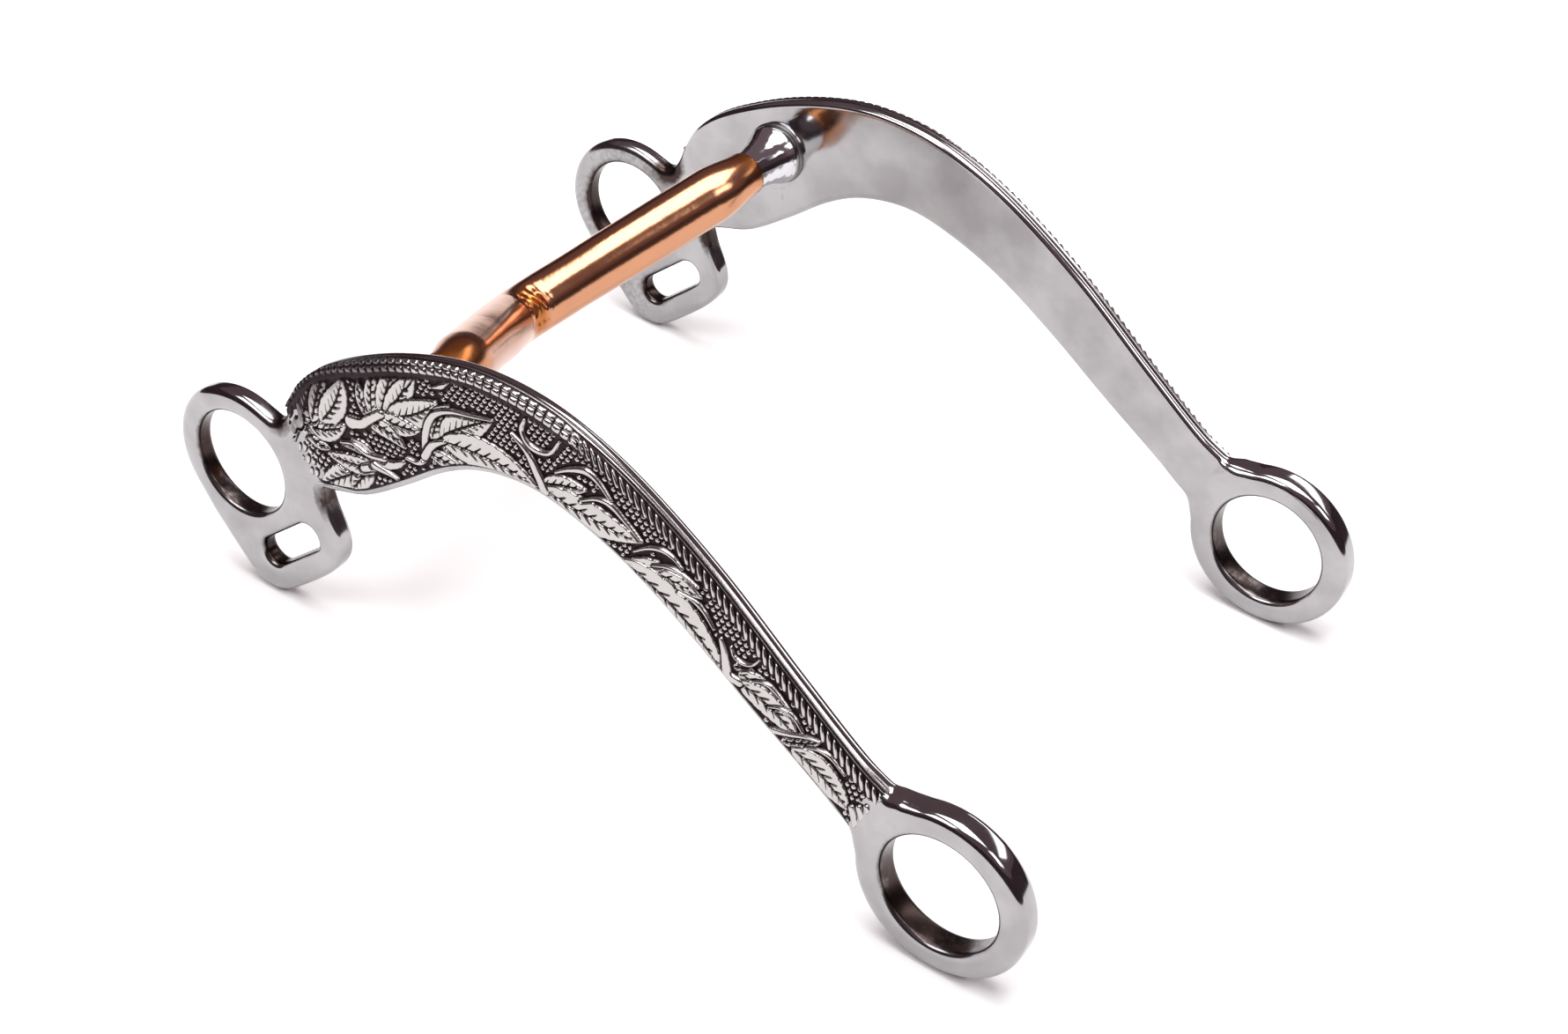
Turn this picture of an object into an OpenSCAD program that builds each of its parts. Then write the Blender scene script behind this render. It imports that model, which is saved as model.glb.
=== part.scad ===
// Curb bit: two cast shanks joined by an arched, copper-sleeved mouthpiece.
// Millimetres. X runs along the shanks from headstall ring (-X) to rein ring (+X), Y across the
// mouth (left shank at +Y), Z up with the bit lying on its curb loops and rein rings.

/* [Overall] */
// Centre distance of the headstall ring and the rein ring along X
ring_pitch = 174.8; // [150:0.2:200]
// Mouth width between the inner faces of the shanks
mouth_w = 127; // [108:0.5:140]
// Thickness of the cast blade
blade_t = 4.0; // [3:0.1:7]

/* [Rings] */
// Bore radius of the rein ring
rein_hole_r = 12.9; // [9:0.1:16]
// Outer radius of the rein ring
rein_out_r = 18.85; // [14:0.05:24]
// Thickness of the rein ring along Y
rein_t = 6.6; // [4:0.1:9]
// Bore radius of the headstall ring
cheek_hole_r = 12.0; // [8:0.1:15]
// Outer radius of the headstall ring
cheek_out_r = 17.35; // [12:0.05:22]
// Thickness of the headstall ring along Y
cheek_t = 5.0; // [3:0.1:8]
// Height of the headstall ring's centre above the floor
cheek_z = 29.6; // [24:0.1:36]

/* [Curb loop] */
// Width of the curb strap slot
slot_w = 6.5; // [4:0.1:9]
// Length of the curb strap slot
slot_len = 19; // [12:0.2:24]
// Tilt of the slot above horizontal, degrees
slot_tilt = 43; // [20:1:70]

/* [Mouthpiece] */
// Distance of the mouthpiece from the headstall ring's centre along X
mouth_x = 40.5; // [30:0.5:60]
// Height of the mouthpiece's ends above the floor
mouth_z = 62.6; // [50:0.1:70]
// Radius of the copper sleeve
sleeve_r = 6.3; // [5:0.1:8]
// Radius of the steel core bar
core_r = 4.3; // [3:0.1:5]
// Height of the arch to its unrounded apex
arch_h = 32.7; // [0:0.1:45]
// Half width of the arch at its corners
arch_w = 48.3; // [36:0.1:56]
// Lean of the arch away from the shank's length, degrees
arch_lean = 45; // [0:1:90]
// Bend radius at the apex
apex_r = 8; // [7:0.1:20]
// Bend radius at the two corners
corner_r = 10; // [7:0.5:20]

/* [Bells and welds] */
// Largest radius of the flared bell
bell_r = 6.9; // [5:0.1:10]
// Length of the bell along the bar
bell_len = 9.5; // [6:0.1:14]
// Radius of the tenon that passes through the bell
tenon_r = 3.0; // [2:0.1:4]
// Depth of the blind socket in the shank
socket_d = 1.5; // [0.5:0.1:3]

/* [Tooled panel] */
// Thickness of the panel's ground
panel_t = 0.5; // [0.3:0.1:1.5]
// Height of the border rim and leaves above the ground
relief_t = 0.5; // [0.2:0.1:1]
// Inset of the panel from the blade's upper edge
inset_up = 0.8; // [0.5:0.1:4]
// Inset of the panel from the blade's lower edge
inset_low = 1.7; // [1:0.1:5]
// Width of the raised border
border_w = 3.1; // [1:0.1:4]

/* [Hidden] */
$fn = 64;
gap = 0.02;
lap = 0.1;
mid_y = mouth_w / 2 + blade_t / 2;
face_y = mouth_w / 2;
cheek_x = -(ring_pitch + rein_out_r - cheek_out_r) / 2;
rein_x = cheek_x + ring_pitch;
rein_z = rein_out_r;
bend = atan(arch_h / arch_w);
corner_len = corner_r * tan(bend / 2);
leg_len = arch_w / cos(bend) - apex_r * tan(bend) - corner_len;
socket_r = tenon_r + gap;

// Control points, measured from the headstall ring's centre along X and from the floor in Z
UPPER = [[12.4, 47.2], [13.9, 51.6], [17.6, 59.3], [25.3, 66.7], [40.2, 75.4], [56, 81.3],
         [70, 83.1], [84, 81.4], [100, 75.5], [120, 63.8], [140, 49.0], [154, 39.0], [161, 35.4]];
LOWER = [[154.2, 21.6], [146, 27.6], [130, 37.6], [115, 47.4], [100, 55.8], [86, 60.8], [75, 62.3],
         [64, 60], [55, 55.0], [45, 46.6], [35, 39.0], [27, 35.9], [22.6, 34.4]];
LOOP = [[22.6, 34.4], [24.2, 29.4], [27.2, 23.4], [27.6, 18.6], [25, 13.7], [18.6, 7.0], [11.4, 1.0],
        [6.6, 0.05], [2.6, 1.4], [-1.6, 5.3], [-7, 10.5], [-12.6, 16.4]];

// One point of a smooth curve between b and c
function blend4(a, b, c, d, t) =
  0.5 * ((2 * b) + (c - a) * t + (2 * a - 5 * b + 4 * c - d) * t * t
  + (3 * b - a - 3 * c + d) * t * t * t);
// A smooth curve through control points p with n steps per span
function curve(p, n) = [
  for (i = [0 : len(p) - 2])
    for (k = [0 : n - 1])
      blend4(p[max(i - 1, 0)], p[i], p[i + 1], p[min(i + 2, len(p) - 1)], k / n)
];
function unit(v) = v / norm(v);
function left_of(v) = [-v[1], v[0]];
// A curve moved sideways to its left by d
function inset(c, d) = [
  for (i = [0 : len(c) - 1])
    c[i] + d * left_of(unit(c[min(i + 1, len(c) - 1)] - c[max(i - 1, 0)]))
];
function reversed(c) = [for (i = [len(c) - 1 : -1 : 0]) c[i]];
// The part of a curve whose X lies between lo and hi
function within(c, lo, hi) = [for (q = c) if (q[0] > lo && q[0] < hi) q];

// Stands a flat shape up in the XZ plane and thickens it evenly about y = 0
module upright(t) {
  rotate([90, 0, 0])
    translate([0, 0, -t / 2])
      linear_extrude(height = t)
        children();
}

// The slot for the curb strap
module slot_flat() {
  half = slot_len / 2 - slot_w / 2;
  translate([13.6, 14.9])
    rotate(slot_tilt) {
      square([2 * half, slot_w], center = true);
      translate([half, 0])
        circle(d = slot_w);
      translate([-half, 0])
        circle(d = slot_w);
    }
}

// Blade and curb loop as one flat outline, with room for the two rings
module blade_flat() {
  difference() {
    polygon(concat(
      curve(UPPER, 5), [[161, 35.4], [164, 25]], curve(LOWER, 5), curve(LOOP, 5), [[-12.6, 16.4], [0, 29]]
    ));
    translate([0, cheek_z])
      circle(r = (cheek_hole_r + cheek_out_r) / 2);
    translate([ring_pitch, rein_z])
      circle(r = (rein_hole_r + rein_out_r) / 2);
    slot_flat();
  }
}

// A ring about Y with rounded edges and a straight land in its bore
module ring(hole_r, out_r, t, round_r) {
  w = out_r - hole_r;
  rotate([90, 0, 0])
    rotate_extrude()
      translate([hole_r + w / 2, 0]) {
        square([w, t - 2 * round_r], center = true);
        square([w - 2 * round_r, t], center = true);
        for (i = [-1, 1])
          for (j = [-1, 1])
            translate([i * (w / 2 - round_r), j * (t / 2 - round_r)])
              circle(r = round_r, $fn = 32);
      }
}

// One shank: blade, curb loop, headstall ring and rein ring cast in one piece, about y = 0,
// with its blind socket opening towards side
module shank(side) {
  difference() {
    union() {
      translate([cheek_x, 0, 0])
        upright(blade_t)
          blade_flat();
      translate([cheek_x, 0, cheek_z])
        ring(cheek_hole_r, cheek_out_r, cheek_t, 1.5);
      translate([rein_x, 0, rein_z])
        ring(rein_hole_r, rein_out_r, rein_t, 2.1);
    }
    translate([cheek_x + mouth_x, side * (blade_t / 2 - socket_d), mouth_z])
      rotate([-90 * side, 0, 0])
        cylinder(h = socket_d + 1, r = socket_r);
  }
}

// Outline of the tooled panel, shrunk a further d inside its own border
function panel_outline(d) = concat(
  [[15.6 + d, 42.4]],
  within(inset(curve(UPPER, 5), -(inset_up + d)), 14.6 + d, 156 - 0.8 * d),
  within(inset(curve(LOWER, 5), -(inset_low + d)), 23.4 + d, 151 - 0.8 * d)
);

// A pointed leaf of length len and width w with its stalk at the origin
module leaf(len, w) {
  r = (len * len / 4 + w * w / 4) / w;
  translate([len / 2, 0])
    intersection() {
      translate([0, r - w / 2])
        circle(r = r);
      translate([0, w / 2 - r])
        circle(r = r);
    }
}

// Five leaves fanned out from one stalk
module leaf_spray(len, w) {
  for (a = [-64, -32, 0, 32, 64])
    rotate(a)
      translate([0.6, 0])
        leaf(len * (1 - abs(a) / 200), w * (1 - abs(a) / 260));
}

// Relief of the tooled panel: raised border and sprays of leaves
module relief_flat() {
  difference() {
    polygon(panel_outline(0));
    polygon(panel_outline(border_w));
  }
  intersection() {
    polygon(panel_outline(border_w + 0.4));
    union() {
      translate([29, 58])
        rotate(-100)
          leaf_spray(12, 5);
      translate([41, 56])
        rotate(70)
          leaf_spray(13, 5);
      translate([60, 66])
        rotate(160)
          leaf_spray(12, 5);
      translate([72, 72])
        rotate(-8)
          leaf_spray(15, 5);
      translate([94, 66])
        rotate(-30)
          leaf_spray(14, 4.4);
      translate([114, 56])
        rotate(-34)
          leaf_spray(13, 4);
      translate([131, 45])
        rotate(-36)
          leaf_spray(12, 3.4);
    }
  }
}

// Tooled panel lying on the shank's outer face, which is at y = 0 here, facing towards side
module overlay(side) {
  translate([cheek_x, side * panel_t / 2, 0])
    upright(panel_t)
      polygon(panel_outline(0));
  translate([cheek_x, side * (panel_t + relief_t / 2 - 0.05), 0])
    upright(relief_t + 0.1)
      relief_flat();
}

// Turns the bar's own plane (bar along X, arch towards Y) into its place between the shanks
module on_bar() {
  translate([cheek_x + mouth_x, 0, mouth_z])
    rotate([0, -arch_lean, 0])
      rotate([0, 0, 90])
        children();
}

// Cross-section of the bar or sleeve, radius r with a bore of radius hole, thinned by d all round
module section(r, hole, d) {
  difference() {
    circle(r = r - d);
    if (hole > 0)
      circle(r = hole + d);
  }
}

// The apex bend of the arch
module apex_bend(r, hole) {
  translate([0, arch_h - apex_r / cos(bend), 0])
    rotate([0, 0, 90 - bend])
      rotate_extrude(angle = 2 * bend)
        translate([apex_r, 0])
          section(r, hole, gap);
}

// One straight leg of the arch, reaching a little into both of its bends
module leg(r, hole) {
  translate([apex_r * sin(bend), arch_h - apex_r / cos(bend) + apex_r * cos(bend), 0])
    rotate([0, 0, -bend])
      translate([-lap, 0, 0])
        rotate([0, 90, 0])
          linear_extrude(height = leg_len + 2 * lap)
            section(r, hole, 0);
}

// The corner bend that turns a leg into the bar's end, for the first turn degrees
module corner_bend(r, hole, turn) {
  translate([arch_w + corner_len, corner_r, 0])
    rotate([0, 0, 270 - bend])
      rotate_extrude(angle = turn)
        translate([corner_r, 0])
          section(r, hole, gap);
}

// Everything of the arch between its corners, with turn degrees of each corner. The bends are a
// hair thinner than the legs, so each leg's end stands clear of the bend it enters.
module arch(r, hole, turn) {
  apex_bend(r, hole);
  for (s = [0, 1])
    mirror([s, 0, 0]) {
      leg(r, hole);
      corner_bend(r, hole, turn);
    }
}

// Steel core bar: arch, straight ends and the tenons that enter the shanks
module mouthpiece_core() {
  end_x = arch_w + corner_len;
  bell_x = face_y - bell_len;
  color("silver")
    on_bar() {
      arch(core_r, 0, bend);
      for (s = [0, 1])
        mirror([s, 0, 0]) {
          translate([end_x - lap, 0, 0])
            rotate([0, 90, 0])
              cylinder(h = bell_x - end_x + lap, r = core_r);
          translate([bell_x - 1, 0, 0])
            rotate([0, 90, 0])
              cylinder(h = bell_len + 1 + socket_d - 0.1, r = tenon_r);
        }
    }
}

// Copper sleeve around the arch, ending half way round each corner
module copper_sleeve() {
  color("peru")
    on_bar()
      arch(sleeve_r, core_r + gap, bend / 2);
}

// A flared bell about X, its wide end at x = 0, narrowing towards -x
module bell_about_x() {
  round_r = 1.5;
  neck_r = core_r;
  dx = bell_len - round_r;
  dr = bell_r - round_r - neck_r;
  sweep_r = (dx * dx + dr * dr - round_r * round_r) / (2 * (dr + round_r));
  rotate([0, -90, 0])
    rotate_extrude() {
      difference() {
        polygon([[socket_r, 0], [bell_r - round_r, 0], [bell_r - round_r, round_r],
                 [neck_r + sweep_r, bell_len], [socket_r, bell_len]]);
        translate([neck_r + sweep_r, bell_len])
          circle(r = sweep_r, $fn = 128);
      }
      translate([bell_r - round_r, round_r])
        circle(r = round_r);
    }
}

// Weld bead about X in the crevice between the bell and the shank's face at x = 0
module weld_about_x() {
  rotate([0, -90, 0])
    rotate_extrude()
      difference() {
        intersection() {
          translate([bell_r - 0.5, 0])
            circle(r = 1.0);
          translate([bell_r - 1.5, 0])
            square([3, 1]);
        }
        translate([bell_r - 1.5, 1.5])
          circle(r = 1.5 + gap);
      }
}

// Puts a piece drawn about X at the left (side 1) or right (side -1) end of the bar
module at_end(side) {
  translate([cheek_x + mouth_x, side * face_y, mouth_z])
    rotate([0, 0, 90 * side])
      children();
}

module left_shank() {
  color("lightsteelblue")
    translate([0, mid_y, 0])
      shank(-1);
}

module right_shank() {
  color("lightsteelblue")
    translate([0, -mid_y, 0])
      shank(1);
}

module left_overlay() {
  color("dimgray")
    translate([0, face_y + blade_t, 0])
      overlay(1);
}

module right_overlay() {
  color("dimgray")
    translate([0, -face_y - blade_t, 0])
      overlay(-1);
}

module left_bell() {
  color("gainsboro")
    at_end(1)
      bell_about_x();
}

module right_bell() {
  color("gainsboro")
    at_end(-1)
      bell_about_x();
}

module left_weld() {
  color("darkgray")
    at_end(1)
      weld_about_x();
}

module right_weld() {
  color("darkgray")
    at_end(-1)
      weld_about_x();
}

left_shank();
right_shank();
left_overlay();
right_overlay();
mouthpiece_core();
copper_sleeve();
left_bell();
right_bell();
left_weld();
right_weld();
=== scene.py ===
"""Curb bit: two cast shanks with tooled panels, a copper-sleeved arched mouthpiece and flared bells."""

import bmesh
import bpy
import numpy as np
from mathutils import Matrix, Vector
from mathutils.geometry import delaunay_2d_cdt


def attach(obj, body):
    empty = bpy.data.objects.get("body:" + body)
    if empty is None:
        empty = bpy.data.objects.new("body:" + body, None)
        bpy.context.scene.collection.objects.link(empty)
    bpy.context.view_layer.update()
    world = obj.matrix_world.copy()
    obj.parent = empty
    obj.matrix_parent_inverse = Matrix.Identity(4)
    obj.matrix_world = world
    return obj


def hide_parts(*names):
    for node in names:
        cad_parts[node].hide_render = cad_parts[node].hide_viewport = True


bl_info = {
    "name": "Curb bit",
    "version": (1, 0, 0),
    "blender": (4, 5, 0),
    "location": "3D View > Sidebar > Curb bit",
    "description": "Builds the shanks, tooled panels, mouthpiece and bells of a curb bit, and its stage",
    "category": "Object",
}

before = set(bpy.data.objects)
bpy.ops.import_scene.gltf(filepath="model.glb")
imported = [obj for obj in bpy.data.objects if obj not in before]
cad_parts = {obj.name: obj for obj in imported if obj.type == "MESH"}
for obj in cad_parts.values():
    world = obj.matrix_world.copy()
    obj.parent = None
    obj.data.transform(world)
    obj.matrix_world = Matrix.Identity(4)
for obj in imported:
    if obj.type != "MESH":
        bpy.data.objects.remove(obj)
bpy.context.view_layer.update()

MM = 0.001
SIDES = ((1, "left"), (-1, "right"))
CHEEK_X = -88.15  # centre of the headstall ring along X, in mm
MID_Y = 65.5  # middle plane of a shank
INNER_Y = 63.5  # inner face of a shank, where the bar ends
BLADE_H = 2.0  # half the blade's thickness
CHEEK = np.array([0.0, 29.6])  # centres of the two rings, x and z
REIN = np.array([174.8, 18.85])
CHEEK_R, CHEEK_BORE = 17.35, 12.0
REIN_R, REIN_BORE = 18.85, 12.9

# Edges of the blade and the curb loop, x from the headstall ring's centre and z from the floor
UPPER = [(13.9, 51.6), (17.6, 59.3), (25.3, 66.7), (40.2, 75.4), (56, 81.3), (70, 83.1), (84, 81.4),
         (100, 75.5), (120, 63.8), (140, 49.0), (154, 39.0), (161, 35.4)]
LOWER = [(154.2, 21.6), (146, 27.6), (130, 37.6), (115, 47.4), (100, 55.8), (86, 60.8), (75, 62.3),
         (64, 60), (55, 55.0), (45, 46.6), (35, 39.0), (27, 35.9), (22.6, 34.4)]
LOOP = [(22.6, 34.4), (24.2, 29.4), (27.2, 23.4), (27.6, 18.6), (25, 13.7), (18.6, 7.0), (11.4, 1.0),
        (6.6, 0.05), (2.6, 1.4), (-1.6, 5.3), (-7, 10.7), (-13.3, 18.4)]
UPPER_X, UPPER_Z = np.array(UPPER).T
EDGE = 1.1  # how far the blade's plain edges are rounded over
SHOULDER = 2.5  # radius of the outer side of the blade's upper edge
# The curb strap slot, tilted in degrees
SLOT = dict(centre=(13.6, 14.9), length=19.0, width=6.5, tilt=43.0)

# Lines that cross the tooled panel from its upper to its lower edge
CROSS_TOP = [(15, 52), (25, 66.7), (40, 75), (56, 81), (70, 83), (84, 81.5), (100, 75.5),
             (120, 63.8), (140, 49), (161, 35.4)]
CROSS_LOW = [(20.5, 37), (31, 37), (44, 46), (56, 56), (68, 61), (78, 62), (91, 59.5),
             (110.5, 50), (132, 36.3), (154.2, 21.6)]
# The sheet that the artwork is drawn on: its upper and lower edges, in mm
SHEET_TOP = [(16, 50), (17, 53), (20, 60.6), (25, 66.3), (30, 70.2), (40, 75.9), (50, 80.7),
             (60, 84.1), (70, 85.2), (80, 85), (90, 83), (100, 78.8), (110, 73.4), (120, 67.1),
             (130, 60.2), (140, 52.8), (150, 45.4), (162, 36.6)]
SHEET_LOW = [(20.5, 39.6), (29.8, 39.6), (35.5, 41.2), (40.1, 43.8), (43.7, 46), (47.3, 49.2),
             (50.9, 52.4), (55, 55.3), (60, 59.2), (65, 62), (70, 63.7), (75, 64.8), (80, 64.9),
             (85.7, 64.1), (89.3, 63), (94.3, 61.6), (98, 59.9), (103, 57.5), (108.4, 54.9),
             (114.7, 51.3), (120.9, 47.8), (127.2, 44), (132.6, 40.7), (139.7, 36.5),
             (145.1, 33.2), (150.1, 30.1), (153.8, 27.4), (157.5, 24.2)]

# Leaves: base, tip, width, sideways bow of the midrib
LEAVES = [
    ((19.3, 46.6), (26.8, 47.3), 3.0, 0.3), ((20.4, 48.3), (24.6, 50.6), 2.4, 0.0),
    ((20.6, 49.6), (31.0, 55.0), 5.0, -0.9), ((20.1, 50.3), (24.0, 61.6), 4.6, 0.5),
    ((22.3, 51.0), (26.0, 64.0), 3.6, 0.4), ((24.6, 52.6), (30.4, 65.6), 5.6, -0.9),
    ((34.6, 46.2), (24.0, 39.6), 5.6, 0.6), ((37.8, 46.9), (32.6, 40.4), 4.6, -0.5),
    ((39.6, 49.6), (29.6, 50.0), 3.4, -1.8), ((39.4, 48.0), (26.2, 46.4), 4.2, 0.3),
    ((36.8, 59.6), (34.4, 67.0), 2.6, 0.4), ((38.2, 60.3), (38.5, 71.0), 3.6, 0.5),
    ((40.3, 61.7), (44.0, 75.0), 4.6, 0.3), ((41.4, 61.9), (48.6, 76.0), 5.0, -0.3),
    ((42.2, 62.2), (54.4, 72.0), 6.4, -1.0), ((39.6, 61.0), (50.4, 63.0), 4.6, -0.7),
    ((36.2, 59.0), (46.8, 56.6), 4.2, 0.7),
    ((55.4, 62.4), (64.6, 61.8), 3.4, -0.3), ((52.6, 58.4), (62.0, 59.6), 3.6, -0.4),
    ((53.4, 62.4), (57.4, 73.0), 4.4, 0.6), ((55.6, 64.2), (67.8, 75.0), 6.6, 0.5),
    ((55.6, 63.0), (79.4, 66.0), 7.8, 1.4),
    ((80.5, 67.5), (90.8, 71.4), 4.2, 0.4), ((80.2, 65.8), (92.0, 62.6), 4.4, 0.5),
    ((81.0, 66.6), (103.8, 65.8), 7.2, -0.6),
    ((101.5, 59.6), (110.5, 63.4), 3.6, -0.4), ((100.6, 59.0), (118.0, 60.4), 5.4, 1.2),
    ((99.6, 59.4), (125.2, 45.8), 8.2, 2.2),
    ((126.5, 49.2), (131.0, 50.4), 2.4, 0.2), ((127.6, 48.2), (137.2, 46.9), 4.0, 0.6),
    ((127.6, 46.4), (142.2, 40.2), 5.6, 1.3),
    ((138.6, 38.2), (146.6, 42.2), 3.0, -0.3), ((141.0, 37.9), (154.6, 30.2), 6.4, 1.1),
]
# Stems, tendrils and curled leaf edges: points, then half width at the start, middle and end
STROKES = [
    ([(15.8, 43.6), (17.6, 45.4), (20.2, 46.6)], 0.9, 0.8, 0.7),
    ([(17.2, 45.6), (19.2, 47.4), (18.7, 51.0), (17.4, 53.2)], 0.7, 0.7, 0.3),
    ([(46.0, 52.8), (44.0, 50.9), (40.6, 49.4), (35.6, 46.8)], 0.5, 1.2, 0.9),
    ([(45.2, 47.6), (42.4, 48.0), (38.4, 48.6)], 0.3, 0.6, 0.9),
    ([(41.0, 51.0), (36.5, 50.6), (33.0, 51.6), (29.8, 50.6)], 0.7, 0.6, 0.3),
    ([(32.4, 56.4), (35.2, 57.3), (37.2, 59.0), (40.2, 61.6)], 1.5, 1.0, 0.9),
    ([(53.6, 75.2), (55.4, 76.4), (57.0, 78.2)], 0.3, 0.7, 0.2),
    ([(46.6, 71.6), (47.4, 73.6), (48.6, 76.4)], 0.2, 0.5, 0.2),
    ([(33.2, 67.0), (33.8, 68.2), (34.4, 69.2)], 0.2, 0.4, 0.2),
    ([(47.0, 54.4), (50.0, 54.8), (51.4, 57.0), (51.6, 63.0), (53.4, 68.0), (57.8, 71.6),
      (63.4, 73.6), (68.0, 75.2)], 0.5, 0.85, 0.25),
    ([(51.4, 57.0), (53.2, 60.4), (56.4, 63.2)], 0.9, 0.9, 0.5),
    ([(75.4, 79.4), (74.9, 76.9), (76.6, 74.6), (79.4, 74.3), (82.0, 75.6), (83.8, 79.2)], 0.3, 0.75, 0.3),
    ([(72.6, 74.8), (76.4, 72.6), (78.9, 69.2), (81.0, 66.0)], 0.3, 0.95, 1.1),
    ([(83.4, 71.8), (86.6, 74.2), (90.2, 75.7), (93.2, 74.6), (96.6, 71.6)], 0.3, 0.85, 0.25),
    ([(89.6, 68.4), (93.2, 70.6), (96.4, 70.8), (100.0, 68.8), (103.9, 66.0)], 0.3, 0.75, 0.25),
    ([(102.4, 62.9), (105.4, 65.4), (108.4, 66.6), (111.0, 66.2), (113.2, 64.8)], 0.3, 0.6, 0.2),
    ([(106.8, 61.9), (110.0, 63.4), (113.0, 63.6), (117.0, 62.4)], 0.25, 0.55, 0.2),
    ([(112.8, 59.2), (116.0, 59.0), (118.8, 57.6), (121.4, 54.9)], 0.25, 0.6, 0.2),
    ([(123.0, 53.6), (124.2, 50.4), (125.4, 46.6), (128.0, 46.0)], 0.4, 0.95, 0.9),
    ([(125.4, 53.2), (126.4, 51.4), (128.4, 50.9), (130.4, 51.8), (131.6, 53.6)], 0.2, 0.45, 0.2),
    ([(131.0, 48.2), (133.4, 49.2), (136.0, 48.4), (139.4, 46.0)], 0.2, 0.5, 0.2),
    ([(134.8, 44.3), (137.6, 45.4), (140.4, 44.8), (143.0, 42.2)], 0.2, 0.5, 0.2),
    ([(136.4, 39.4), (139.8, 40.4), (143.4, 41.8), (146.6, 42.4)], 0.7, 0.5, 0.2),
    ([(143.8, 39.6), (146.6, 40.4), (149.4, 39.9), (152.6, 37.6)], 0.2, 0.5, 0.2),
    ([(154.9, 31.0), (156.0, 28.6), (157.2, 25.4)], 0.6, 0.8, 0.7),
    ([(156.4, 31.6), (157.4, 29.6), (158.4, 27.2)], 0.6, 0.8, 0.6),
    ([(157.9, 32.2), (158.9, 30.8), (159.6, 29.2)], 0.6, 0.7, 0.5),
]

NOOKS = ((24.0, 31.5, 5.0), (11.3, 46.0, 4.0))  # inner corners darkened with painted shade: x, z and reach
WALL_DARK = 0.9  # depth below the face at which a bore's wall is fully darkened by painted shade
RELIEF = 0.88  # the tooling stands this share of its drawn height above the blade
SHEET_SHIFT = 0.7  # how far the artwork sheet is shifted along the shank
ROLL = 0.85  # share of the shoulder's drop that counts in the panel's width
PANEL_IN_TOP, PANEL_IN_LOW = 0.12, 1.35  # the panel stops this far inside the blade's edges
BEAD_STEP_X, BEAD_STEP_Z = 1.42, 1.3  # spacing of the beaded ground
BRICK, BAR, BAR_SLANT = 2.15, 1.95, 1.35  # spacing of the rope's bricks and slanted bars, and their slant
# The arch: middle of its ends, height, half width, radii of its bends, and its lean in degrees
ARCH = dict(x=40.5, z=62.6, height=32.7, half=47.2, apex=13.0, corner=14.0, lean=45.0)
CREASE = -2.0  # where the arch has folded, along the bar from its apex
FOOT = 1.5  # rounding of a bell's foot


# ---- shaping by arrays
def smooth_line(points, steps=12):
    """Catmull-Rom curve: each span is a cubic whose end slopes are half the step between its neighbours."""
    p = np.array(points, float)
    p = np.vstack([2 * p[0] - p[1], p, 2 * p[-1] - p[-2]])
    t = np.arange(steps)[None, :, None] / steps
    a, b, c, d = (p[i:len(p) - 3 + i][:, None, :] for i in range(4))
    q = 0.5 * (2 * b + (c - a) * t + (2 * a - 5 * b + 4 * c - d) * t**2 + (3 * b - a - 3 * c + d) * t**3)
    return np.vstack([q.reshape(-1, p.shape[1]), p[-2:-1]])


def lengths(line):
    """Distance along a line at each of its points."""
    return np.concatenate([[0], np.cumsum(np.linalg.norm(np.diff(line, axis=0), axis=1))])


def unit(v):
    """Each row divided by its length."""
    return v / np.linalg.norm(v, axis=-1, keepdims=True)


def at_length(line, s):
    """Points of a line at the distances s along it."""
    run = lengths(line)
    return np.stack([np.interp(s, run, line[:, i]) for i in range(line.shape[1])], -1)


def step(lo, hi, v):
    """0 below lo, 1 above hi, with the smooth cubic 3t^2 - 2t^3 between; it falls where lo is above hi."""
    t = np.clip((v - lo) / (hi - lo), 0, 1)
    return t * t * (3 - 2 * t)


def blend(below, above, share):
    """The first value where share is 0, the second where it is 1."""
    return below * (1 - share) + above * share


def ripple(p, seed, waves=7):
    """Soft unevenness: the average of sine waves whose directions, lengths and starts are drawn at random."""
    rng = np.random.default_rng(seed)
    k = rng.normal(size=(waves, p.shape[-1]))
    return np.sin(p @ k.T + rng.uniform(0, 6.28, waves)).sum(-1) / waves


def arc(centre, radius, start, end, count):
    """Points of a circular arc between two angles in degrees."""
    a = np.radians(np.linspace(start, end, count))
    return np.stack([centre[0] + radius * np.cos(a), centre[1] + radius * np.sin(a)], -1)


def staggered(x_range, z_range, step_x, step_z):
    """Points of a lattice whose every second row is shifted half a step sideways."""
    gx, gz = np.meshgrid(np.arange(*x_range, step_x), np.arange(*z_range, step_z))
    gx = gx + np.where(np.arange(len(gx)) % 2, step_x / 2, 0)[:, None]
    return np.stack([gx.ravel(), gz.ravel()], -1)


def even_loop(line, spacing, soften):
    """A closed line at even spacing, softened by a Gaussian of the given width in mm."""
    line = np.vstack([line, line[:1]])
    total = lengths(line)[-1]
    n = int(round(total / spacing))
    p = at_length(line, np.arange(n) * total / n)
    f = np.fft.fftfreq(n, total / n)
    z = np.fft.ifft(np.fft.fft(p[:, 0] + 1j * p[:, 1]) * np.exp(-2 * (np.pi * soften * f) ** 2))
    return np.stack([z.real, z.imag], -1)


def towards_metal(loop, hole):
    """Unit vectors square to a closed line, pointing into the metal."""
    t = unit(np.roll(loop, -1, 0) - np.roll(loop, 1, 0))
    area = (loop[:, 0] * np.roll(loop[:, 1], -1) - np.roll(loop[:, 0], -1) * loop[:, 1]).sum()
    turn = (1 if area > 0 else -1) * (-1 if hole else 1)
    return turn * np.stack([-t[:, 1], t[:, 0]], -1)


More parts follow.
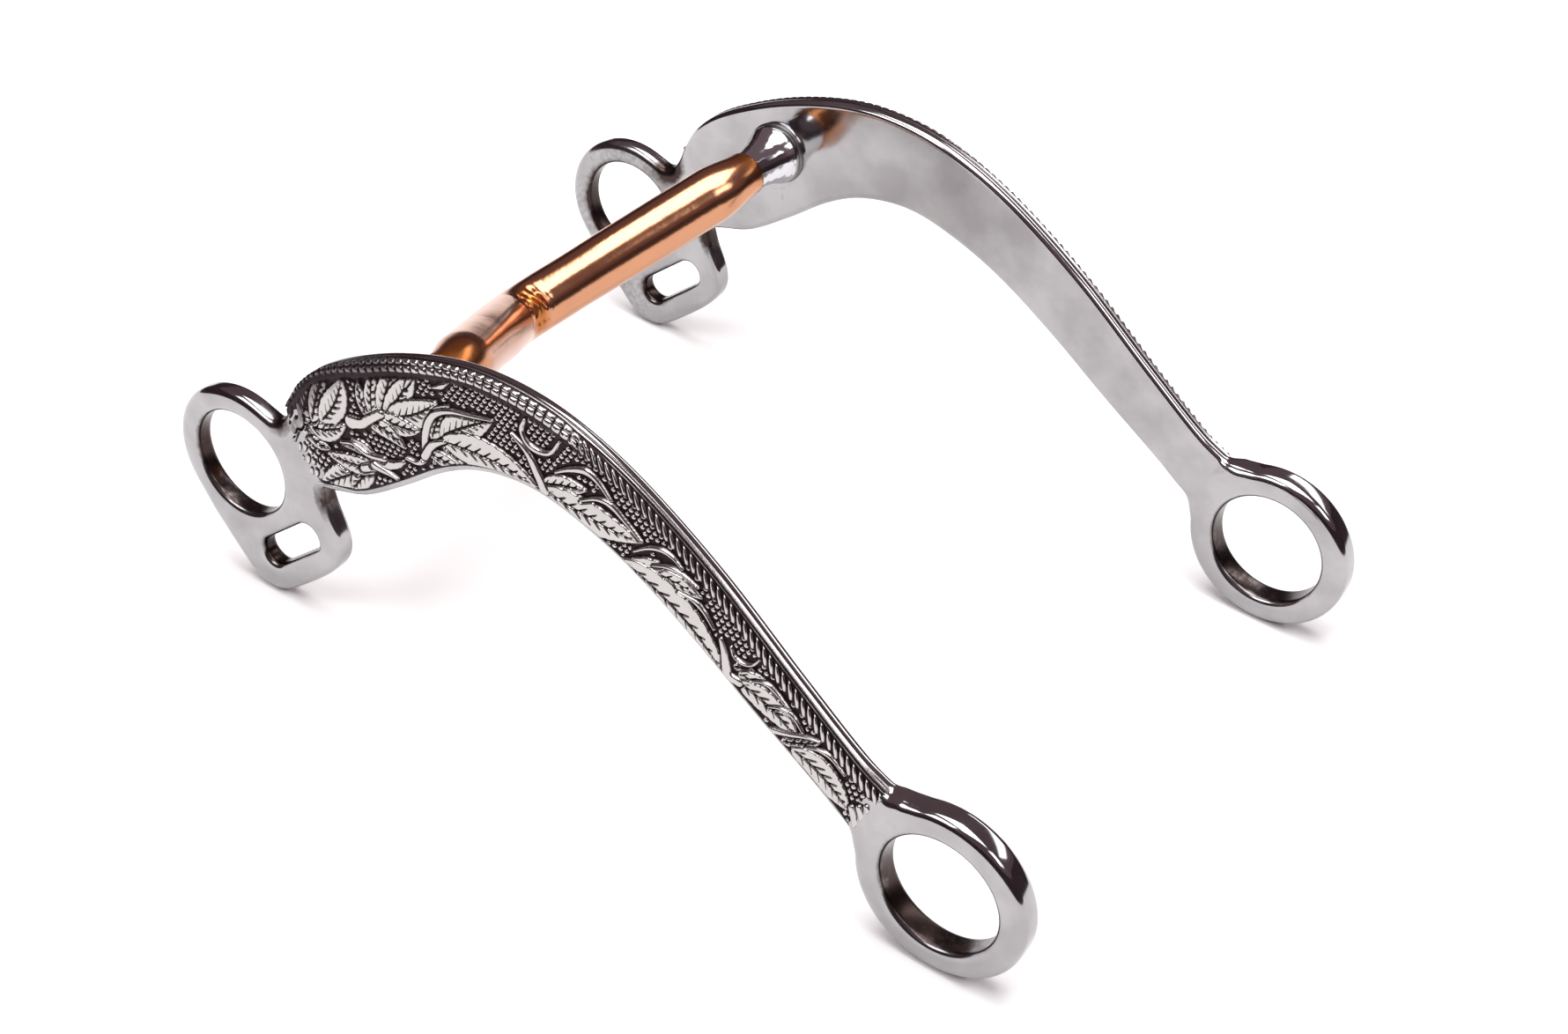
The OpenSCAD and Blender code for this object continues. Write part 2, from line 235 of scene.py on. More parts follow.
def inside(points, loop):
    """Whether each point is inside a closed line, by counting the edges crossed on the way out."""
    a, b = loop, np.roll(loop, -1, 0)
    x, z = points[:, :1], points[:, 1:]
    crosses = (a[:, 1] > z) != (b[:, 1] > z)
    dz = np.where(b[:, 1] == a[:, 1], 1e-9, b[:, 1] - a[:, 1])
    return (crosses & (x < a[:, 0] + (z - a[:, 1]) * (b[:, 0] - a[:, 0]) / dz)).sum(1) % 2 == 1


def grid_faces(rows, cols, close_rows=False, close_cols=False):
    """Four-sided faces over a grid of points, joined round where a direction closes."""
    i = np.arange(rows if close_rows else rows - 1)[:, None]
    j = np.arange(cols if close_cols else cols - 1)[None, :]
    i2, j2 = (i + 1) % rows, (j + 1) % cols
    return np.stack([i * cols + j, i * cols + j2, i2 * cols + j2, i2 * cols + j], -1).reshape(-1, 4)


def make(name, points, faces, stands_for, material, values=None):
    """A mesh from points in mm and faces, placed in the frame, facing outwards, riding on the bit."""
    mesh = bpy.data.meshes.new(name)
    mesh.from_pydata((points * MM).tolist(), [], faces)
    for key, v in (values or {}).items():
        mesh.attributes.new(key, "FLOAT", "POINT").data.foreach_set("value", v.astype(np.float32))
    b = bmesh.new()
    b.from_mesh(mesh)
    bmesh.ops.recalc_face_normals(b, faces=b.faces)
    if b.calc_volume(signed=True) < 0:
        bmesh.ops.reverse_faces(b, faces=b.faces)
    b.to_mesh(mesh)
    b.free()
    mesh.shade_smooth()
    mesh.materials.append(material)
    obj = bpy.data.objects.new(name, mesh)
    bpy.context.scene.collection.objects.link(obj)
    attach(obj, "root")
    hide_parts(stands_for)
    return obj


# ---- materials
class Wire:
    """A value or colour on its way through a material; sums on it add the nodes that work them out."""

    def __init__(self, tree, socket):
        self.tree, self.socket = tree, socket

    def math(self, op, other):
        return node(self.tree, "ShaderNodeMath", {"operation": op}, {0: self, 1: other})

    def __add__(self, o):
        return self.math("ADD", o)

    def __sub__(self, o):
        return self.math("SUBTRACT", o)

    def __mul__(self, o):
        return self.math("MULTIPLY", o)

    __radd__ = __add__


def node(tree, kind, settings=None, inputs=None, out=0):
    """One node: its settings first, then its sockets, then the output asked for as a Wire."""
    n = tree.nodes.new(kind)
    for k, v in (settings or {}).items():
        if k == "stops":
            ramp = n.color_ramp
            while len(ramp.elements) < len(v):
                ramp.elements.new(0.5)
            for e, (place, colour) in zip(ramp.elements, v):
                e.position, e.color = place, (*colour, 1)
        else:
            setattr(n, k, v)
    for k, v in (inputs or {}).items():
        s = n.inputs[k]
        if isinstance(v, Wire):
            tree.links.new(v.socket, s)
        else:
            s.default_value = (*v, 1) if isinstance(v, tuple) and len(v) == 3 and s.type == "RGBA" else v
    return Wire(tree, n.outputs[out]) if n.outputs else n


def finish_named(name):
    """An empty material with the place on the piece, ready for its nodes."""
    m = bpy.data.materials.new(name)
    m.use_nodes = True
    t = m.node_tree
    t.nodes.clear()
    return m, t, node(t, "ShaderNodeTexCoord", out=3)


def noise(t, place, scale, detail=3.0, rough=0.5):
    return node(t, "ShaderNodeTexNoise", None,
                {"Vector": place, "Scale": scale, "Detail": detail, "Roughness": rough})


def stored(t, key):
    """A value kept at each point of the mesh."""
    return node(t, "ShaderNodeAttribute", {"attribute_name": key}, out=2)


def ramp(t, wire, *stops):
    return node(t, "ShaderNodeValToRGB", {"stops": stops}, {0: wire})


def mixed(t, share, a, b):
    return node(t, "ShaderNodeMix", {"data_type": "RGBA"}, {0: share, 6: a, 7: b}, out=2)


def bump(t, height, strength, distance):
    return node(t, "ShaderNodeBump", None, {"Strength": strength, "Distance": distance, "Height": height})


def metal_out(t, colour, roughness, normal):
    surface = node(t, "ShaderNodeBsdfPrincipled", None,
                   {"Base Color": colour, "Roughness": roughness, "Metallic": 1.0, "Normal": normal})
    node(t, "ShaderNodeOutputMaterial", None, {"Surface": surface})


def polished_steel(colour, shade, grime, roughness):
    """Hand-polished cast steel: cloudy tone, faint rubbing marks, shallow waves from the wheel, and painted
    shade:
    dark brown on the bores' walls, in the inner corners and on the inner face over the headstall ring and
    curb loop, partly patina on the inner face."""
    m, t, place = finish_named("Polished steel")
    shade_and_dirt = stored(t, "grime")
    cloud = noise(t, place, 90, 4)
    fine = noise(t, place, 900, 3)
    tone = ramp(t, cloud, (0.35, shade), (0.62, colour))
    tone = mixed(t, fine * 0.25, tone, tuple(0.82 * c for c in colour))
    # painted shade: the bores' walls, the inner corners and the inner face turn dark brown here
    patch = ramp(t, shade_and_dirt + (cloud - 0.5) * 0.9 + (fine - 0.5) * 0.5, (0.35, (0, 0, 0)), (0.95, (1, 1, 1)))
    tone = mixed(t, patch, tone, grime)
    rough = roughness + shade_and_dirt * 0.16 + (cloud - 0.5) * 0.12 + (fine - 0.5) * 0.06
    wave = noise(t, place, 60, 1)
    metal_out(t, tone, rough, bump(t, wave * 0.6 + fine * 0.04, 0.16, 0.0004))
    return m


def antiqued_steel(colour, black, roughness):
    """Blackened ground with the raised work rubbed bright; the black follows the depth of the tooling, and
    painted shade darkens the upper part of the panel's left end.
    """
    m, t, place = finish_named("Antiqued steel")
    # the antique black by depth, with painted shade over the upper left end of the panel added in
    depth = stored(t, "antique")
    cloud = noise(t, place, 260, 4)
    fine = noise(t, place, 1400, 3)
    shade_and_dirt = depth + (cloud - 0.5) * 0.22 + (fine - 0.5) * 0.16
    share = ramp(t, shade_and_dirt, (0.18, (0, 0, 0)), (0.62, (1, 1, 1)))
    worn = mixed(t, cloud * 0.55, colour, tuple(0.72 * c for c in colour))
    tone = mixed(t, share, worn, black)
    rough = roughness + depth * 0.34 + (fine - 0.5) * 0.1
    metal_out(t, tone, rough, bump(t, fine, 0.12, 0.00015))
    return m


def copper(colour, tarnish, roughness):
    """Polished copper, browner and rougher where the sleeve ends and in the crease of the arch, and browner
    on the near leg, which is painted shade.
    """
    m, t, place = finish_named("Copper")
    tint = stored(t, "tarnish")
    cloud = noise(t, place, 120, 4)
    fine = noise(t, place, 1500, 2)
    share = ramp(t, tint + (cloud - 0.5) * 0.5, (0.15, (0, 0, 0)), (0.6, (1, 1, 1)))
    tone = mixed(t, share, mixed(t, cloud * 0.4, colour, tuple(0.8 * c for c in colour)), tarnish)
    rough = roughness + tint * 0.12 + (cloud - 0.5) * 0.08
    metal_out(t, tone, rough, bump(t, cloud + fine * 0.1, 0.3, 0.0004))
    return m


def bright_steel(name, colour, stain, roughness, stain_from):
    """Mirror-bright turned steel with a brown heat stain that creeps in from the shank."""
    m, t, place = finish_named(name)
    across = node(t, "ShaderNodeSeparateXYZ", None, {0: place}, out=1)
    far = node(t, "ShaderNodeMath", {"operation": "ABSOLUTE"}, {0: across})
    cloud = noise(t, place, 300, 4)
    fine = noise(t, place, 1200, 2)
    tint = (far - stain_from) * 500.0 + (cloud - 0.5) * 1.2
    share = ramp(t, tint, (0.0, (0, 0, 0)), (1.0, (1, 1, 1)))
    tone = mixed(t, share, colour, stain)
    rough = roughness + (cloud - 0.5) * 0.06
    metal_out(t, tone, rough, bump(t, cloud + fine * 0.1, 0.15, 0.0002))
    return m


def floor_paper(colour):
    """Plain pale backdrop paper with a trace of grain."""
    m, t, place = finish_named("Pale floor")
    grain = noise(t, place, 40, 3)
    tone = mixed(t, grain * 0.1, colour, tuple(0.96 * c for c in colour))
    surface = node(t, "ShaderNodeBsdfPrincipled", None,
                   {"Base Color": tone, "Roughness": 0.9 + grain * 0.05, "Specular IOR Level": 0.0})
    node(t, "ShaderNodeOutputMaterial", None, {"Surface": surface})
    return m


# ---- the shanks
def shank_outline():
    """The shank's edge as one closed line: headstall ring, blade top, rein ring, blade bottom, curb loop."""
    line = np.vstack([
        arc(CHEEK, CHEEK_R, 219, 72, 70), [(9.3, 44.9), (11.8, 46.0), (12.9, 48.6)], smooth_line(UPPER),
        arc(REIN, REIN_R, 110, -176, 150), smooth_line(LOWER)[:-1], smooth_line(LOOP)[:-1]])
    return even_loop(line, 0.5, 0.55)


def shank_holes():
    """The bores of the two rings and the curb strap slot, as closed lines."""
    s = SLOT
    half, r = (s["length"] - s["width"]) / 2, s["width"] / 2
    flat = np.vstack([arc((half, 0), r, -90, 90, 40), arc((-half, 0), r, 90, 270, 40)])
    c, n = np.cos(np.radians(s["tilt"])), np.sin(np.radians(s["tilt"]))
    slot = flat @ np.array([[c, n], [-n, c]]) + np.array(s["centre"])
    bores = [arc(CHEEK, CHEEK_BORE, 0, 360, 181)[:-1], arc(REIN, REIN_BORE, 0, 360, 191)[:-1]]
    return bores + [even_loop(slot, 0.45, 0.1)]


def half_thickness(p):
    """Half the metal's thickness: the blade's, swelling smoothly to each ring's and the curb loop's."""
    cheek = step(24, 17.5, np.linalg.norm(p - CHEEK, axis=-1)) * 0.5
    loop = step(30, 23, p[..., 0]) * step(38, 31, p[..., 1]) * 0.35
    rein = step(22.5, 18.0, np.linalg.norm(p - REIN, axis=-1)) * 1.3
    return BLADE_H + np.maximum(np.maximum(cheek, loop), rein)


def edge_radius(p, hole, outer):
    """How far an edge is rounded over, down from the face and in from the edge: most on the rings, where the
    rounding is a quarter of an ellipse, and on the outer side of the blade's upper edge."""
    rein = step(26, 19, np.linalg.norm(p - REIN, axis=-1))
    left = step(27, 18, p[..., 0])
    over = step(-6, 0, p[..., 1] - np.interp(p[..., 0], UPPER_X, UPPER_Z))
    over = over * step(12, 15.5, p[..., 0]) * step(166, 161, p[..., 0])
    ring = np.maximum(rein, left) * (1 - over)
    r = EDGE + np.maximum(0.75 * ring, (SHOULDER - EDGE if outer else 0.15) * over)
    return (0.8 * r, 0.8 * r + 0.35 * ring) if hole else (r, r + 0.7 * ring)


def shoulder(d):
    """Drop of the blade's outer face near its upper edge: a quarter circle of radius SHOULDER."""
    return np.where(d < SHOULDER, -SHOULDER + np.sqrt(np.clip(SHOULDER**2 - (SHOULDER - d) ** 2, 0, None)), 0)


def edge_rows(loop, hole, outer, turns=9):
    """A quarter turn carried round a closed line, in by w(1 - sin a) and down from the face by r(1 - cos a).
    Returns its guard line, just inside it on the flat face, and its rows of points."""
    a = np.linspace(0, np.pi / 2, turns)[:, None]
    n = towards_metal(loop, hole)
    r, w = edge_radius(loop, hole, outer)
    guard = loop + n * (w + 0.3)[:, None]
    seen = np.concatenate([guard[None], loop + n * (w * (1 - np.sin(a)))[..., None]])
    y = half_thickness(seen) - np.concatenate([0 * r[None], r * (1 - np.cos(a))])
    return guard, np.stack([seen[..., 0], y if outer else -y, seen[..., 1]], -1)


def fill_face(guards):
    """Triangles over a flat face between its guard lines, with points spread over it to carry the swelling.
    Returns those points and the triangles, which count the guard lines' points first."""
    edge = np.vstack(guards)
    within = lambda q: inside(q, guards[0]) & ~np.any([inside(q, g) for g in guards[1:]], axis=0)
    p = staggered((-18, 195), (0, 85), 1.5, 1.3)
    p = p[within(p)]
    near = np.concatenate([np.linalg.norm(c[:, None] - edge[None], axis=-1).min(1)
                           for c in np.array_split(p, 20)])
    p = p[near > 0.8]
    every = np.vstack([edge, p])
    links, start = [], 0
    for g in guards:
        k = np.arange(len(g))
        links += np.stack([k + start, (k + 1) % len(g) + start], -1).tolist()
        start += len(g)
    out = delaunay_2d_cdt([Vector(q) for q in every.tolist()], links, [], 0, 1e-7)
    tri = np.array([ids[0] for ids in out[3]])[np.array([f for f in out[2] if len(f) == 3])]
    return p, tri[within(every[tri].mean(1))]


def shank_points():
    """Both rounded edges of every closed line, joined by its wall, and the two flat faces between them."""
    loops = [(shank_outline(), False)] + [(h, True) for h in shank_holes()]
    verts, quads, guards, ends, grime, base = [], [], ([], []), ([], []), [], 0
    for loop, hole in loops:
        (g_out, out), (g_in, back) = edge_rows(loop, hole, True), edge_rows(loop, hole, False)
        rows = np.concatenate([out, back[::-1]])
        count, m = rows.shape[:2]
        # painted shade: each bore's wall darkens with its depth below the face, the inner corners in NOOKS
        # darken, and the inner side over the headstall ring and curb loop darkens, partly patina
        deep = half_thickness(rows[..., ::2]) - np.abs(rows[..., 1])
        wall = np.clip(deep / WALL_DARK, 0, 1) if hole else 0 * deep
        nook = sum(np.exp(-((np.hypot(rows[..., 0] - x, rows[..., 2] - z) / reach) ** 2))
                   for x, z, reach in NOOKS)
        inner = step(0.5, -0.5, rows[..., 1]) * 0.40 * step(17, 12, rows[..., 0])
        grime.append(np.clip(wall + nook + inner, 0, 1).ravel())
        quads.append(grid_faces(count, m, close_cols=True) + base)
        verts.append(rows.reshape(-1, 3))
        for side, guard, first in ((0, g_out, base), (1, g_in, base + (count - 1) * m)):
            guards[side].append(guard)
            ends[side].append(np.arange(m) + first)
        base += count * m
    faces = np.vstack(quads).tolist()
    for side in (0, 1):
        p, tri = fill_face(guards[side])
        index = np.concatenate(ends[side] + [base + np.arange(len(p))])
        h = half_thickness(p)
        verts.append(np.stack([p[:, 0], -h if side else h, p[:, 1]], -1))
        grime.append(inner_shade_and_smudge(p) if side else np.zeros(len(p)))
        faces += index[tri].tolist()
        base += len(p)
    return np.vstack(verts), faces, np.concatenate(grime)


def inner_shade_and_smudge(p):
    """Brown on the shank's inner face: painted shade over the headstall ring and loop, partly patina, and a
    smudge round the bar's end.
    """
    bar = np.hypot(p[:, 0] - ARCH["x"] - 1.0, p[:, 1] - ARCH["z"] + 2.0)
    return np.clip(0.40 * step(17, 12, p[:, 0]) + 0.26 * step(13, 5, bar), 0, 1)


def placed(points, side):
    """From the shank's own plane (y outwards) to its place: left shank at +Y, right shank at -Y."""
    return np.stack([points[:, 0] + CHEEK_X, side * (MID_Y + points[:, 1]), points[:, 2]], -1)


# ---- the tooled panels
def inset_line(line, d):
    """A line moved sideways to its right by d."""
    t = unit(np.gradient(line, axis=0))
    return line + d * np.stack([t[:, 1], -t[:, 0]], -1)


def panel_grid(cols, rows, inset_up, inset_low):
    """Ruled surface between the panel's two edges; each cross line is divided evenly along the rounded face.
    Returns the place on the shank, the place on the artwork sheet, the share along the cross line, the
    distance from the blade's edge and the direction square to that edge."""
    up = inset_line(smooth_line(UPPER, 24), inset_up)
    low = inset_line(smooth_line(LOWER, 24), inset_low)[::-1]
    run_up, run_low = lengths(up), lengths(low)
    near = lambda line, run, pts: np.array([run[np.argmin(np.linalg.norm(line - q, axis=1))] for q in pts])
    k_up, k_low = near(up, run_up, CROSS_TOP), near(low, run_low, CROSS_LOW)
    mid = lengths((np.array(CROSS_TOP) + np.array(CROSS_LOW)) / 2)
    s = np.linspace(0, mid[-1], cols)
    soft = np.hanning(2 * (cols // 24) + 1)
    soft /= soft.sum()
    ease = lambda v: np.convolve(np.pad(v, len(soft) // 2, mode="reflect", reflect_type="odd"), soft, "valid")
    top = at_length(up, ease(np.interp(s, mid, k_up)))
    bot = at_length(low, ease(np.interp(s, mid, k_low)))
    along = unit(np.gradient(top, axis=0))
    across = bot - top
    width = np.abs(across[:, 0] * along[:, 1] - across[:, 1] * along[:, 0])
    depth = np.linspace(inset_up, 40, 6000)
    drawn = depth - inset_up + ROLL * (shoulder(depth) - shoulder(inset_up))
    share = np.linspace(0, 1, rows)[:, None]
    d = np.interp(share * np.interp(width + inset_up, depth, drawn), drawn, depth)
    place = top + ((d - inset_up) / width)[..., None] * across
    sheet_up, sheet_low = smooth_line(SHEET_TOP, 24), smooth_line(SHEET_LOW, 24)
    onto = lambda x, line: np.stack([x, np.interp(x, line[:, 0], line[:, 1])], -1)
    s_top, s_bot = onto(top[:, 0] + SHEET_SHIFT, sheet_up), onto(bot[:, 0] + SHEET_SHIFT, sheet_low)
    sheet = blend(s_top, s_bot, share[..., None])
    # the left end is scooped to follow the ring's web
    scoop = 2.2 * np.sin(np.pi * share) ** 0.8 * np.exp(-s / 4.0)
    place[..., 0] -= scoop
    sheet[..., 0] -= scoop
    inward = across - (across * along).sum(1)[:, None] * along
    return place, sheet, share + 0 * d, d, unit(inward)


def leaf_shape(q, base, tip, width, bow):
    """Signed distance inside a leaf: half width times (sin(pi u^0.8))^0.75 less the distance from a midrib
    that bows as 4 bow u(1-u). Then the distance inside its veins, which sweep from the midrib towards the
    tip, and how far out a point lies, 0 on the midrib and 1 on the edge."""
    base, tip = np.array(base), np.array(tip)
    d = tip - base
    length = np.hypot(*d)
    e = d / length
    r = q - base
    u = r @ e / length
    v = r @ np.array([-e[1], e[0]]) - 4 * bow * u * (1 - u)
    uc = np.clip(u, 0.0, 1.0)
    pitch = 1.25 + 0.05 * length
    side = np.where(v > 0, 0.5, 0.0)
    phase = (uc * length - 1.15 * np.abs(v)) / pitch + side
    tooth = np.clip(2 * (phase - np.floor(phase)) - 1, 0, 1)
    half = width / 2 * np.sin(np.pi * uc ** 0.8) ** 0.75 + 0.05
    edge = half * (1 - 0.07 * tooth) - np.abs(v)
    edge = np.minimum(edge, np.minimum(u, 1 - u) * length * 0.8 + 0.05)
    frac = np.abs(phase - np.round(phase)) * pitch * 0.66
    reach = 1 - np.abs(v) / np.maximum((0.74 - 0.012 * length) * half, 0.05)
    ends = step(0.06, 0.16, uc) * step(0.97, 0.86, uc)
    veins = np.where(reach > 0, 0.19 * np.sqrt(np.clip(reach, 0, 1)) * ends - frac, -1.0)
    rib = 0.23 * step(1.0, 0.7, uc) * step(0.02, 0.10, uc) - np.abs(v) - 0.02
    return edge, np.maximum(veins, rib), np.abs(v) / np.maximum(half, 0.1)


def stroke_shape(q, points, w0, w1, w2):
    """Signed distance inside a drawn stroke: its half width, which runs w0 - w1 - w2, less the distance to
    its line. Then that distance as a share of the half width."""
    line = smooth_line(points, 6)
    a, b = line[:-1], line[1:]
    ab = b - a
    k = np.clip(((q[:, None] - a) * ab).sum(-1) / (ab * ab).sum(-1), 0, 1)
    d = np.linalg.norm(q[:, None] - (a + k[..., None] * ab), axis=-1)
    i = d.argmin(1)
    pick = np.arange(len(q))
    u = (i + k[pick, i]) / len(ab)
    w = np.interp(u, [0, 0.5, 1], [w0, w1, w2])
    return w - d[pick, i], d[pick, i] / w


def near_box(q, points, margin):
    """Which points lie in the box round some others, grown by a margin."""
    p = np.array(points)
    return np.flatnonzero(((q > p.min(0) - margin) & (q < p.max(0) + margin)).all(1))


def draw_foliage(q):
    """Lays leaves, then strokes, on the sheet: (height share, black share, cover) at each point."""
    h, black, cover = np.zeros(len(q)), np.ones(len(q)), np.zeros(len(q))

    def lay(i, edge, top, dark):
        clear, on = step(-0.38, -0.2, edge), step(-0.14, 0.10, edge)
        h[i] = blend(blend(h[i], 0, clear), top, on)
        black[i] = blend(blend(black[i], 1, clear), dark, on)
        cover[i] = np.maximum(cover[i], step(-0.75, -0.55, edge))

    for base, tip, width, bow in LEAVES:
        i = near_box(q, [base, tip], width / 2 + abs(bow) + 1)
        edge, carve, off = leaf_shape(q[i], base, tip, width, bow)
        cut = step(-0.10, 0.10, carve)
        lay(i, edge, (1 - 0.22 * off**2) * (1 - 0.62 * cut), cut)
    for points, w0, w1, w2 in STROKES:
        i = near_box(q, points, 2.2)
        edge, off = stroke_shape(q[i], points, w0, w1, w2)
        lay(i, edge, 1.05 - 0.35 * np.clip(off, 0, 1) ** 2, np.zeros(len(i)))
    return h, black, cover


def bead_centres():
    """Beads on a close-packed lattice over the sheet, wherever no leaf or stem lies near."""
    q = staggered((14, 164), (20, 90), BEAD_STEP_X, BEAD_STEP_Z)
    up, low = smooth_line(SHEET_TOP, 12), smooth_line(SHEET_LOW, 12)
    depth = np.interp(q[:, 0], up[:, 0], up[:, 1]) - q[:, 1]
    left = q[:, 1] - np.interp(q[:, 0], low[:, 0], low[:, 1])
    q = q[(depth > 0) & (left > 0.8)]
    return q[draw_foliage(q)[2] < 0.2]


def bead_distance(q, centres):
    """Distance from each point to the nearest bead's centre, among those within 0.8 mm along the sheet."""
    best = np.full(len(q), 9.0)
    order = np.argsort(q[:, 0])
    xs = q[order, 0]
    for c in centres:
        i = order[np.searchsorted(xs, c[0] - 0.8):np.searchsorted(xs, c[0] + 0.8)]
        best[i] = np.minimum(best[i], np.linalg.norm(q[i] - c, axis=1))
    return best


def relief(sheet, t):
    """Drawn height in mm above the blade's face and share of black, over the whole panel."""
    rows, cols = t.shape
    q = sheet.reshape(-1, 2)
    h, black, cover = draw_foliage(q)
    best = bead_distance(q, bead_centres())
    # round beads: each is a cap whose height falls as the square of the distance
    bead = (1 - cover) * step(0.66, 0.44, best)
    h = np.maximum(h, bead * (0.62 - 0.5 * np.clip(best, 0, 0.7) ** 2))
    black = black * (1 - bead * step(0.62, 0.40, best))
    h, black = h.reshape(rows, cols), black.reshape(rows, cols)
    # the roped border: two rows of bricks, which give way to slanted bars and a bright rim near the rein ring
    along = unit(np.gradient(sheet[0], axis=0))
    across = sheet[-1] - sheet[0]
    square = np.abs(across[:, 0] * along[:, 1] - across[:, 1] * along[:, 0])
    d = t * square
    skew = (across * along).sum(1) / np.maximum(square, 1e-3)
    run = lengths(sheet[0]) + d * skew
    x = sheet[0, :, 0]
    feather = step(82, 96, x)
    full = step(17, 38, x)
    top, width = 0.7 + 1.05 * feather, 1.6 * (0.3 + 0.7 * full) * (1 - 0.28 * feather)
    deep = d - top
    cell = lambda r, ph: (1 - np.abs(2 * np.clip(r, 0, 1) - 1) ** 5) * (1 - np.abs(2 * (ph % 1) - 1) ** 5)
    brick = np.maximum(cell(deep / width, run / BRICK), cell(deep / width - 1, run / BRICK))
    swell = 0.14 + 0.34 * np.sin(np.pi * np.clip(deep / (2 * width), 0, 1)) ** 0.7
    slanted = np.clip(1 - (((run - BAR_SLANT * deep) / BAR % 1 - 0.5) / swell) ** 2, 0, 1)
    slanted = slanted * step(0, 0.2, deep) * step(2 * width, 2 * width - 0.2, deep)
    rope = brick * (1 - feather) + slanted * feather
    end, gap = top + 2 * width, 1.1 - 0.75 * feather
    band = step(end + gap + 0.15, end + gap - 0.15, d)
    lip = step(top - 0.1, top - 0.35, d)
    h_rope = 0.15 + 0.72 * np.clip(rope, 0, 1) ** 0.8
    groove = np.sin(np.pi * np.clip((d - end) / gap, 0, 1))
    h_rope = np.where(d > end, 0.22 + 0.10 * groove, h_rope)
    h_rope = blend(h_rope, 0.34, lip)
    b_rope = np.clip(1.15 - 1.35 * rope, 0, 1)
    b_rope = np.where(d > end, 0.66, b_rope)
    b_rope = blend(b_rope, 0.34, lip)
    rim = feather * step(0.95, 0.80, d)
    crease = feather * step(0.80, 0.95, d) * step(1.35, 1.2, d)
    h_rope = h_rope * (1 - rim - crease) + 0.38 * rim + 0.08 * crease
    b_rope = b_rope * (1 - rim - crease) + crease
    h, black = blend(h, h_rope, band), blend(black, b_rope, band)
    # a dark line and a thin bright strip along the lower edge, and painted shade darkening the upper part of
    # the left end
    low = (1 - t) * square
    line = step(0.75, 0.6, low) * step(0.15, 0.3, low)
    strip = step(0.25, 0.15, low)
    h = blend(blend(h, 0.15, line), 0.3, strip)
    black = blend(blend(black, 1, line), 0, strip)
    black = np.clip(black + 0.5 * step(52, 40, sheet[..., 0]) * step(8.0, 3.5, d), 0, 1)
    return h, black


def panel_points(cols=840, rows=112):
    """The tooled face is the ruled panel raised by its relief; a plain back and four walls close it."""
    place, sheet, t, d, inward = panel_grid(cols, rows, PANEL_IN_TOP, PANEL_IN_LOW)
    h, black = relief(sheet, t)
    lean = np.clip(1 - d / SHOULDER, 0, 1)
    rise = RELIEF * h
    place = place - inward * np.minimum(rise * lean, d - 0.06)[..., None]
    left = step(6.0, 0.0, np.hypot(*(place - place[:, :1]).transpose(2, 0, 1))) * 0.15
    y = BLADE_H + shoulder(d) - left + 0.05 + rise * np.sqrt(1 - lean**2)
    front = np.stack([place[..., 0], y, place[..., 1]], -1).reshape(-1, 3)
    grid = np.arange(rows * cols).reshape(rows, cols)
    ring = np.concatenate([grid[0, :-1], grid[:-1, -1], grid[-1, :0:-1], grid[:0:-1, 0]])
    back = front[ring].copy()
    back[:, 1] = -0.2
    m = len(ring)
    lower = rows * cols + np.arange(m)
    walls = np.stack([ring, np.roll(ring, -1), np.roll(lower, -1), lower], -1)
    # back: strips between the upper and lower edge, the two ends as fans
    turn_low, turn_up = cols + rows - 2, 2 * cols + rows - 3
    top, bottom = lower[:cols], lower[turn_low:turn_low + cols][::-1]
    strips = np.stack([top[1:-2], top[2:-1], bottom[2:-1], bottom[1:-2]], -1)
    right_end = np.hstack([top[-2], lower[cols - 1:turn_low + 1], bottom[-2]])
    left_end = np.hstack([bottom[1], lower[turn_up:], top[:2]])
    faces = grid_faces(rows, cols).tolist() + walls.tolist() + strips.tolist()
    faces += [right_end.tolist(), left_end.tolist()]
    values = np.concatenate([black.ravel(), np.ones(m)])
    return np.vstack([front, back]), faces, values


# ---- the mouthpiece
def arch_line(spacing=0.25):
    """Centre line of the arch in its own plane: a corner bend, a leg, the apex bend, a leg, a corner bend."""
    a = ARCH
    bend = np.arctan2(a["height"], a["half"])
    reach = a["corner"] * np.tan(bend / 2)
    centre = (a["half"] + reach, a["corner"])
    turn = np.degrees(bend)
    right = arc(centre, a["corner"], 270 - turn, 270, 40)
    top = arc((0, a["height"] - a["apex"] / np.cos(bend)), a["apex"], 90, 90 - turn, 40)
    half = np.vstack([top, right])
    line = np.vstack([half[::-1] * [-1, 1], half[1:]])
    total = lengths(line)[-1]
    n = int(total / spacing)
    return at_length(line, np.linspace(0, total, n)), total


def on_bar(p):
    """From the bar's own plane (along it, arch height, square to both) to its place between the shanks."""
    c, s = np.cos(np.radians(ARCH["lean"])), np.sin(np.radians(ARCH["lean"]))
    return np.stack([CHEEK_X + ARCH["x"] - c * p[:, 1] - s * p[:, 2], p[:, 0],
                     ARCH["z"] - s * p[:, 1] + c * p[:, 2]], -1)


